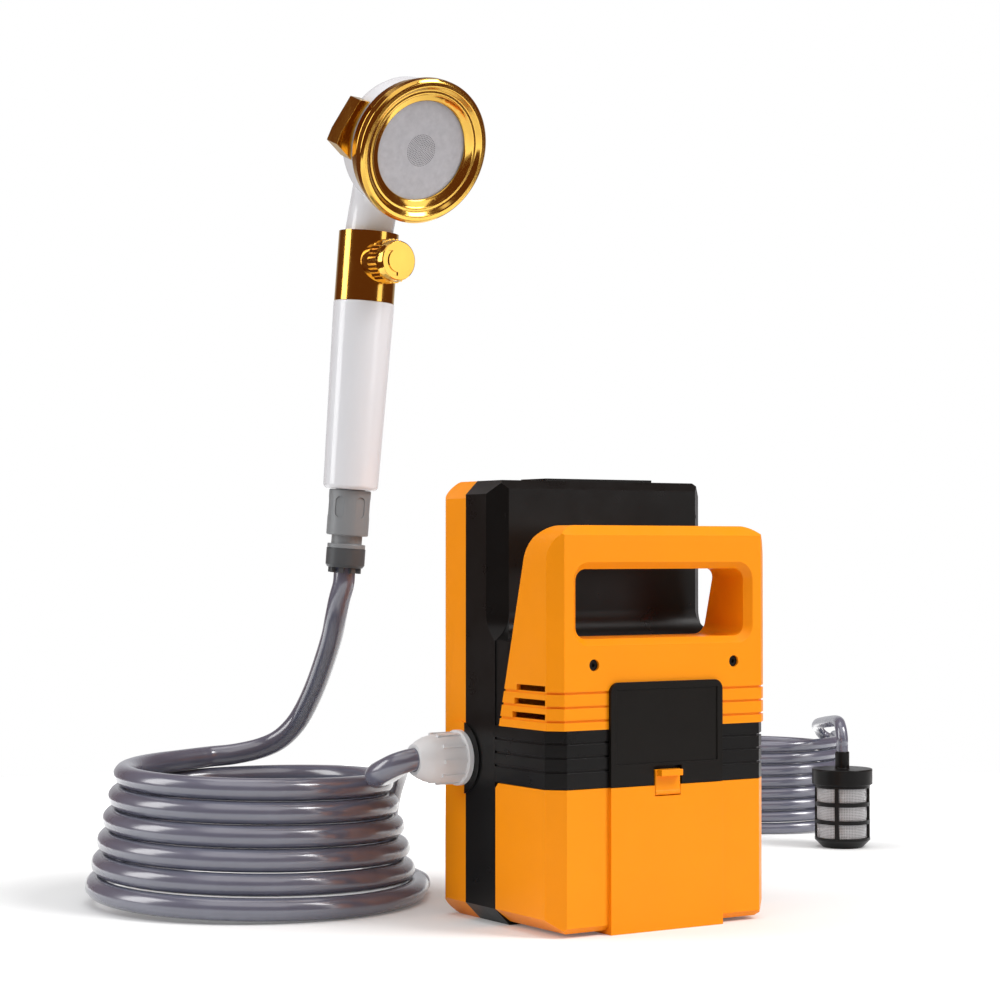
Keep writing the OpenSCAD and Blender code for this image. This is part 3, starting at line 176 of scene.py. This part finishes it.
# A moulded or cast finish: a faintly cloudy colour, roughness from low to high, and a fine grain
def moulded(name, colour, low, high, grain=1400, depth=0.00006, vary=0.06, coat=0, metal=0, shine=0.5):
    m = Finish(name)
    m.set(Base_Color=m.tint(m.noise(scale=26, detail=4), shade(colour, 1 - vary), shade(colour, 1 + vary)),
          Roughness=m.span(m.noise(scale=60, detail=5), low, high),
          Metallic=metal,
          Specular_IOR_Level=shine)
    if coat:
        m.set(Coat_Weight=coat, Coat_Roughness=0.08)
    m.bump(m.noise(scale=grain, detail=2), strength=0.25, distance=depth)
    return m.mat


# Slightly smoky soft plastic under a clear skin
def hose_finish():
    m = Finish("smoke_hose")
    m.set(Base_Color=m.tint(m.noise(scale=40, detail=3), (0.122, 0.125, 0.172), (0.146, 0.150, 0.202)),
          Roughness=m.span(m.noise(scale=90, detail=4), 0.17, 0.25),
          IOR=1.5,
          Specular_IOR_Level=1.0,
          Coat_Weight=0.7,
          Coat_Roughness=0.2,
          Coat_IOR=1.6)
    m.bump(m.noise(scale=60, detail=2), strength=0.04, distance=0.00005)
    return m.mat


# Matt steel with a fine tooth
def spray_finish():
    m = Finish("spray_steel")
    m.set(Base_Color=m.tint(m.noise(scale=300, detail=4), (0.47, 0.47, 0.50), (0.55, 0.55, 0.58)),
          Roughness=m.span(m.noise(scale=500, detail=3), 0.34, 0.5),
          Metallic=0.3)
    m.bump(m.noise(scale=1800, detail=2), strength=0.4, distance=0.0001)
    return m.mat


ORANGE = moulded("orange_plastic", (0.97, 0.30, 0.003), 0.30, 0.40, vary=0.02, shine=0.18)
BLACK = moulded("black_plastic", (0.006, 0.006, 0.006), 0.26, 0.36, grain=2200, shine=0.2)
PANEL = moulded("panel_black", (0.008, 0.007, 0.006), 0.34, 0.44, grain=3200, shine=0.15)
DARK = moulded("dark_grey_plastic", (0.078, 0.083, 0.088), 0.34, 0.46, shine=0.4)
GREY = moulded("grey_plastic", (0.25, 0.26, 0.27), 0.30, 0.42, vary=0.03)
PALE = moulded("nut_grey_plastic", (0.78, 0.78, 0.79), 0.30, 0.40, vary=0.03)
WHITE = moulded("white_plastic", (0.84, 0.84, 0.87), 0.16, 0.24, coat=0.4, vary=0.01)
GOLD = moulded("gold_metal", (0.76, 0.46, 0.09), 0.10, 0.17, depth=0.00002, vary=0.05, metal=1)
STEEL = moulded("steel", (0.52, 0.52, 0.53), 0.26, 0.38, metal=1)
BRASS = moulded("brass", (0.72, 0.52, 0.20), 0.22, 0.34, metal=1)
NYLON = moulded("natural_nylon", (0.72, 0.69, 0.60), 0.40, 0.5)
RUBBER = moulded("rubber", (0.02, 0.02, 0.02), 0.6, 0.75)
BOARD = moulded("board", (0.02, 0.14, 0.05), 0.35, 0.5)
CELL = moulded("cell_wrap", (0.03, 0.15, 0.32), 0.25, 0.35)
RED = moulded("red_plastic", (0.52, 0.02, 0.02), 0.25, 0.35, coat=0.3)
WIRE = moulded("mesh_wire", (0.72, 0.72, 0.73), 0.25, 0.35, metal=1)
BACKING = moulded("mesh_backing", (0.30, 0.30, 0.31), 0.4, 0.5, metal=0.6)
HOSE = hose_finish()
SPRAY = spray_finish()

# Hoses: the routes of the part's source, in millimetres. An end is the straight run beside a coil.
COIL_TURN = math.radians(-32.5)
AWAY = V((-math.sin(COIL_TURN), math.cos(COIL_TURN), 0))
RIGHT = V((math.cos(COIL_TURN), math.sin(COIL_TURN), 0))
FLOOR_GAP = 0.1
POINTS_PER_TURN = 48
CUTS = 8
HOSE_ROUNDNESS = 12

OUT_R = 6
OUT_COIL_AT = V((-130, 153, 0))
OUT_COIL_R, OUT_TAPER, OUT_FLARE = 86.5, 3, 4
OUT_START, OUT_PITCH, OUT_TURNS = 4.5, 12, 5.625
OUT_END, OUT_CLIMB = 12, 0.04

IN_R = 3.75
IN_COIL_AT = V((334, 279, 0))
IN_COIL_R, IN_PITCH, IN_TURNS = 49.5, 7.9, 7.25
IN_END, IN_CLIMB = 7.5, 0.026

SHOWER_AT, SHOWER_LEAN, SHOWER_TURN = V((-86, 129, 180)), 3, 4
HEAD_AT, HEAD_TILT = V((0, -50, 229.8)), 108
LEAN = rotation(SHOWER_LEAN, "Y") @ rotation(SHOWER_LEAN, "X")
SHOWER_AXIS = LEAN @ UP
STRAINER_AT, NECK_Z = V((300, 160, 0)), 61.8
NECK = STRAINER_AT + NECK_Z * UP


def points(*places):
    return [V(p) for p in places]


def out_point(t):
    r = OUT_COIL_R - OUT_TAPER * t + OUT_FLARE * max(0, 1 - 2 * t)
    a = COIL_TURN - math.tau * t
    z = max(OUT_R + FLOOR_GAP, OUT_START + OUT_PITCH * t)
    return OUT_COIL_AT + V((r * math.cos(a), r * math.sin(a), z))


def in_point(t):
    a = COIL_TURN - math.pi / 2 + math.tau * t
    z = IN_R + FLOOR_GAP + IN_PITCH * t
    return IN_COIL_AT + V((IN_COIL_R * math.cos(a), IN_COIL_R * math.sin(a), z))


def coil(point, turns):
    return [point(i / POINTS_PER_TURN) for i in range(int(turns * POINTS_PER_TURN) + 1)]


# A curve through all the points of a route
def smooth(route):
    curve = []
    last = len(route) - 1
    for i in range(last):
        a, b, c, d = route[max(i - 1, 0)], route[i], route[i + 1], route[min(i + 2, last)]
        for k in range(CUTS):
            u = k / CUTS
            curve.append(0.5 * (2 * b + (c - a) * u + (2 * a - 5 * b + 4 * c - d) * u * u
                                + (3 * b - a - 3 * c + d) * u ** 3))
    return curve + [route[-1]]


out_in = out_point(0) + AWAY * OUT_END
out_lead = points(
    (-85, 33.75, 84), (-91.5, 33.75, 84), (-98.5, 33.75, 84), (-106, 36, 82), (-110, 41, 79),
    (-111, 48, 76), (-106, 57, 74), (-95, 71, 73), (-81, 87, 73), (-66, 104, 74), (-52, 126, 73),
    (-42, 146, 66), (-35, 165, 53), (-30, 178, 39), (-27, 183, 25), (-27, 178, 12), (-32, 158, 7))
out_lead += [out_in + AWAY * 16, out_in + AWAY * 6, out_in]

out_angle = COIL_TURN - math.tau * OUT_TURNS
out_heading = V((math.sin(out_angle), -math.cos(out_angle), OUT_CLIMB)).normalized()
out_out = out_point(OUT_TURNS) + out_heading * OUT_END
out_riser = [out_out, out_out + out_heading * 6] + points(
    (-120, 226, 73), (-107, 223, 74), (-94, 217, 77), (-85, 210, 82), (-79, 203, 90), (-76, 195, 100),
    (-77, 180, 114), (-80, 163, 130), (-83, 149, 144), (-86, 139, 155), (-87, 133, 165))
out_riser += [SHOWER_AT - SHOWER_AXIS * 6, SHOWER_AT + SHOWER_AXIS * 2, SHOWER_AT + SHOWER_AXIS * 8]

in_in = in_point(0) - RIGHT * IN_END
in_lead = points(
    (79, 33.75, 84), (85.5, 33.75, 84), (92.5, 33.75, 84), (103, 37, 83), (114, 47, 77), (124, 65, 64),
    (138, 90, 42), (156, 120, 19), (178, 153, 6), (200, 185, 4), (216, 212, 4), (234, 238, 4), (258, 252, 4))
in_lead += [in_in - RIGHT * 14, in_in - RIGHT * 5, in_in]

in_heading = (AWAY + IN_CLIMB * UP).normalized()
in_out = in_point(IN_TURNS) + in_heading * IN_END
in_loop = [in_out, in_out + in_heading * 4, in_out + in_heading * 9] + points(
    (392, 275, 60), (399, 283, 58), (401, 291, 57), (398, 296, 60), (392, 294, 65), (384, 285, 68),
    (360, 254, 72), (330, 209, 77), (309, 175, 80))
in_loop += [NECK + V((2, 4, 15.5)), NECK + 9 * UP, NECK + 4 * UP, NECK]


def hose(name, line, radius):
    curve = bpy.data.curves.new(name, "CURVE")
    curve.dimensions = "3D"
    curve.bevel_depth = radius * MM
    curve.bevel_resolution = HOSE_ROUNDNESS
    spline = curve.splines.new("POLY")
    spline.points.add(len(line) - 1)
    for spot, place in zip(spline.points, line):
        spot.co = (*(place * MM), 1)
    spline.use_smooth = True
    curve.materials.append(HOSE)
    ob = link(bpy.data.objects.new(name, curve))
    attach(ob, "pump")
    return ob, sum((b - a).length for a, b in zip(line, line[1:])) * MM


out_line = smooth(out_lead) + coil(out_point, OUT_TURNS) + smooth(out_riser)
outlet_hose, out_length = hose("outlet_hose", out_line, OUT_R)
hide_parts("outlet_hose_lead", "outlet_hose_coil", "outlet_hose_riser")

in_line = smooth(in_lead) + coil(in_point, IN_TURNS) + smooth(in_loop)
intake_hose, in_length = hose("intake_hose", in_line, IN_R)
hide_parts("intake_hose_lead", "intake_hose_coil", "intake_hose_loop")

# Pieces with eased edges stand for the CAD nodes that show
MERGE = 0.002 * MM
FLAT, SHARP = math.radians(0.6), math.radians(32)
SMALL_SHARE = 0.25
EASE_STEPS = 3


# Small says, from the middle of an edge in millimetres, whether only a share of the width is eased there
def eased(node, material, width, slot, small=None):
    mesh = frame["nodes"][node].data.copy()
    bm = bmesh.new()
    bm.from_mesh(mesh)
    bmesh.ops.remove_doubles(bm, verts=bm.verts, dist=MERGE)
    bmesh.ops.dissolve_limit(bm, angle_limit=FLAT, verts=bm.verts, edges=bm.edges)
    weight = bm.edges.layers.float.new("bevel_weight_edge")
    for face in bm.faces:
        face.smooth = True
    for edge in bm.edges:
        if len(edge.link_faces) == 2 and edge.calc_face_angle(0) > SHARP:
            start, end = edge.verts
            middle = (start.co + end.co) * (0.5 / MM)
            edge[weight] = SMALL_SHARE if small and small(*middle) else 1.0
    bm.to_mesh(mesh)
    bm.free()
    for name in ("custom_normal", "sharp_face", "sharp_edge"):
        if name in mesh.attributes:
            mesh.attributes.remove(mesh.attributes[name])
    mesh.set_sharp_from_angle(angle=SHARP)
    mesh.materials.clear()
    mesh.materials.append(material)
    ob = link(bpy.data.objects.new(node + "_form", mesh))
    bevel = ob.modifiers.new("ease", "BEVEL")
    bevel.width = width * MM
    bevel.segments = EASE_STEPS
    bevel.limit_method = "WEIGHT"
    bevel.harden_normals = True
    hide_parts(node)
    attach(ob, frame["nodes"][node]["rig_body"])


# Where the case has its small edges, in millimetres
BOSS_X = 68.9
REAR_INSIDE_X, REAR_INSIDE_Y, REAR_INSIDE_Z = 67, (-53, 52), (1, 227)
FRAME_INSIDE_X, FRAME_INSIDE_Y = 60, 2
FRONT_INSIDE_X, FRONT_INSIDE_Y, RIBS_TOP = 50, -50, 140
PANEL_FOOT = 90
DRAWER_RIM = 60


def within(value, limits):
    return limits[0] < value < limits[1]


def small_on_rear(x, y, z):
    inside = abs(x) < REAR_INSIDE_X and within(y, REAR_INSIDE_Y) and within(z, REAR_INSIDE_Z)
    return inside or abs(x) > BOSS_X


def small_on_frame(x, y, z):
    return y > FRAME_INSIDE_Y and (abs(x) < FRAME_INSIDE_X or abs(x) > BOSS_X)


def small_on_front(x, y, z):
    return z < RIBS_TOP or (y > FRONT_INSIDE_Y and abs(x) < FRONT_INSIDE_X)


def small_on_panel(x, y, z):
    return z < PANEL_FOOT


def small_on_drawer(x, y, z):
    return z > DRAWER_RIM


for eased_piece in (
        ("rear_cover", ORANGE, 1.6, "orange_plastic", small_on_rear),
        ("centre_frame", BLACK, 1.4, "black_plastic", small_on_frame),
        ("front_housing", ORANGE, 2.0, "orange_plastic", small_on_front),
        ("ribbed_band", BLACK, 0.3, "black_plastic"),
        ("label_panel", PANEL, 0.8, "black_plastic", small_on_panel),
        ("battery_drawer", ORANGE, 1.6, "orange_plastic", small_on_drawer),
        ("latch_tab", ORANGE, 0.5, "orange_plastic"),
        ("outlet_nut", PALE, 0.5, "grey_plastic"),
        ("intake_nut", PALE, 0.5, "grey_plastic"),
        ("clamp_nut", DARK, 0.4, "dark_grey_plastic"),
        ("quick_body", GREY, 0.4, "grey_plastic"),
        ("quick_sleeve", GREY, 0.3, "grey_plastic"),
        ("shower_handle", WHITE, 1.0, "white_plastic"),
        ("flow_collar", GOLD, 0.6, "gold_metal"),
        ("flow_knob", GOLD, 0.25, "gold_metal"),
        ("shower_head", WHITE, 0.6, "white_plastic"),
        ("mode_ring", GOLD, 0.5, "gold_metal"),
        ("mode_lever", GOLD, 1.2, "gold_metal"),
        ("head_rim", GOLD, 0.5, "gold_metal"),
        ("strainer_cap", BLACK, 0.8, "black_plastic"),
        ("strainer_cage", BLACK, 0.3, "black_plastic"),
        ("switch_frame", BLACK, 0.4, "black_plastic"),
        ("power_rocker", RED, 0.4, "red_plastic"),
        ("charge_socket", BLACK, 0.3, "black_plastic")):
    eased(*eased_piece)


def shape(name, verts, faces, placed, material, body, slot, node=None):
    mesh = bpy.data.meshes.new(name)
    mesh.from_pydata([placed @ V(v) * MM for v in verts], [], faces)
    mesh.materials.append(material)
    for face in mesh.polygons:
        face.use_smooth = True
    ob = link(bpy.data.objects.new(name, mesh))
    if node:
        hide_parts(node)
    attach(ob, body)
    return ob


def lathe(profile, sides):
    verts, faces, n = [], [], len(profile)
    for i in range(sides):
        a = math.tau * i / sides
        verts += [(r * math.cos(a), r * math.sin(a), z) for r, z in profile]
        j = (i + 1) % sides
        faces += [(i * n + k, j * n + k, j * n + k + 1, i * n + k + 1) for k in range(n - 1)]
    return verts, faces


# Spray face: a shallow crowned plate with rings of fine holes drawn as black discs of painted shade, in
# millimetres from the head's front
SHOWER = Matrix.Translation(SHOWER_AT) @ (LEAN @ rotation(SHOWER_TURN, "Z"))
FACE = SHOWER @ Matrix.Translation(HEAD_AT) @ rotation(HEAD_TILT, "X")
PLATE_Z, PLATE_R, PLATE_T, PLATE_SIDES = -4.5, 28.9, 2, 72
PLATE_EDGE = math.radians(40)
CROWN, CROWN_STEPS = 0.4, 12
CENTRE_R = 0.001
HOLE_RINGS, HOLE_PITCH, HOLES_MORE_A_RING = 10, 0.95, 6
HOLE_R, HOLE_SIDES, HOLE_LIFT = 0.24, 8, 0.03

crown = [1 - k / CROWN_STEPS for k in range(CROWN_STEPS)]
profile = [(CENTRE_R, PLATE_Z - PLATE_T), (PLATE_R, PLATE_Z - PLATE_T)]
profile += [(PLATE_R * share, PLATE_Z - CROWN * share ** 2) for share in crown]
profile += [(CENTRE_R, PLATE_Z)]
plate = shape("spray_face", *lathe(profile, PLATE_SIDES), FACE, SPRAY, "shower", "spray_steel", "spray_plate")
plate.data.set_sharp_from_angle(angle=PLATE_EDGE)

# The holes are flat black discs laid just above the plate: painted shade standing for the dark inside each
# hole
verts, faces = [], []
for ring in range(HOLE_RINGS):
    count = max(1, HOLES_MORE_A_RING * ring)
    for i in range(count):
        a = math.tau * (i + 0.5 * (ring % 2)) / count
        at = (HOLE_PITCH * ring * math.cos(a), HOLE_PITCH * ring * math.sin(a), PLATE_Z + HOLE_LIFT)
        faces.append(tuple(range(len(verts), len(verts) + HOLE_SIDES)))
        verts += circle(HOLE_R, HOLE_SIDES, at)
shape("spray_holes_painted_shade", verts, faces, FACE, BLACK, "shower", "black_plastic")

# Strainer sleeve: wire mesh on a fine backing
MESH_R, MESH_Z, MESH_H, WIRE_D = 16.1, 6.1, 34.4, 0.34
ROWS, COLUMNS = 34, 96

verts, faces = [], []
for row in range(ROWS + 1):
    verts += circle(MESH_R, COLUMNS, (0, 0, MESH_Z + MESH_H * row / ROWS))
for row in range(ROWS):
    low, high = row * COLUMNS, (row + 1) * COLUMNS
    for c in range(COLUMNS):
        beside = (c + 1) % COLUMNS
        faces.append((low + c, low + beside, high + beside, high + c))
sleeve = shape("strainer_wires", verts, faces, Matrix.Translation(STRAINER_AT), BACKING, "pump",
               "spray_steel", "strainer_mesh")
sleeve.data.materials.append(WIRE)
wires = sleeve.modifiers.new("wires", "WIREFRAME")
wires.thickness = WIRE_D * MM
wires.use_replace = False
wires.material_offset = 1

# The rest of the CAD nodes keep their shape
plain = dict(
    handle_screws=BLACK, cover_screws=STEEL, cell_tray=BLACK, battery_cells=CELL, battery_board=BOARD,
    battery_contacts=BRASS, drawer_rails=BLACK, latch_pin=STEEL, control_board=BOARD, pump_bracket=STEEL,
    pump_head=BLACK, pressure_switch=GREY, valve_plate=NYLON, diaphragm=RUBBER, wobble_plate=NYLON,
    crank_case=BLACK, motor_can=STEEL, motor_shaft=STEEL, motor_leads=RED, outlet_nipple=BLACK,
    intake_nipple=BLACK, socket_seal=RUBBER, handle_plug=GREY, valve_spindle=BRASS)
for node, material in plain.items():
    ob = frame["nodes"][node]
    ob.data.materials.clear()
    ob.data.materials.append(material)

# Floor: pale, and turning white towards its edges
FLOOR_AT, FLOOR_R, FLOOR_SIDES = (0.05, 0.12, 0), 0.78, 96
FADE_START, FADE_END = 0.35, 0.72
GLOW_LOW, GLOW_HIGH = 0.10, 0.9

paper = Finish("paper")
distance = paper.maths("ShaderNodeVectorMath", "LENGTH", paper.coords).outputs["Value"]
shown = paper.rays()[1]
glow = paper.span(distance, GLOW_LOW, GLOW_HIGH, FADE_START, FADE_END)
paper.set(Base_Color=paper.tint(paper.noise(scale=3, detail=2), (0.84, 0.84, 0.84), (0.86, 0.86, 0.86)),
          Roughness=0.8,
          Specular_IOR_Level=0.1,
          Emission_Color=(1, 1, 1, 1),
          Emission_Strength=paper.maths("ShaderNodeMath", "MULTIPLY", shown, glow).outputs["Value"])
floor = bpy.data.meshes.new("floor")
floor.from_pydata(circle(FLOOR_R, FLOOR_SIDES, FLOOR_AT), [], [tuple(range(FLOOR_SIDES))])
floor.materials.append(paper.mat)
link(bpy.data.objects.new("floor", floor))

# World: white to the camera, a warm dark room with a pale far end in reflections, and grey as light
WHITE_BACKDROP = (1, 1, 1, 1)
ROOM_NEAR, ROOM_FAR = (0.13, 0.05, 0.025, 1), (0.6, 0.6, 0.62, 1)
FILL = (0.32, 0.32, 0.32, 1)
FAR_START, FAR_END = 0.72, 0.97

scene.world = bpy.data.worlds.new("studio")
scene.world.use_nodes = True
world = Nodes(scene.world.node_tree)
direction = world.add("ShaderNodeTexCoord").outputs["Generated"]
facing = world.maths("ShaderNodeVectorMath", "DOT_PRODUCT", direction, camera_turn @ -UP).outputs["Value"]
room = world.blend(world.span(facing, 0, 1, FAR_START, FAR_END), ROOM_NEAR, ROOM_FAR)
direct, shown = world.rays()
backdrop = world.blend(direct, world.blend(shown, FILL, room), WHITE_BACKDROP)
world.put(world.tree.nodes["Background"], dict(Color=backdrop, Strength=1))


# Soft lights, in metres and watts
def softbox(name, at, to, size, power):
    lamp = bpy.data.lights.new(name, "AREA")
    lamp.shape = "RECTANGLE"
    lamp.size, lamp.size_y = size
    lamp.energy = power
    ob = link(bpy.data.objects.new(name, lamp))
    ob.location = at
    ob.rotation_euler = (V(to) - V(at)).to_track_quat("-Z", "Y").to_euler()


softbox("key", at=(1.2, -1.5, 2.2), to=(0, 0, 0.15), size=(1.0, 1.2), power=50)
softbox("over", at=(-0.8, -0.9, 2.1), to=(-0.05, 0.1, 0.1), size=(2.4, 1.8), power=15)
softbox("card", at=(1.1, -1.8, 0.8), to=(0, 0, 0.2), size=(0.8, 1.4), power=6)
softbox("side", at=(-1.8, 0.9, 1.0), to=(0, 0, 0.15), size=(0.9, 1.6), power=18)
softbox("top", at=(0.1, 0.5, 2.2), to=(0, 0.1, 0), size=(1.6, 1.2), power=9)
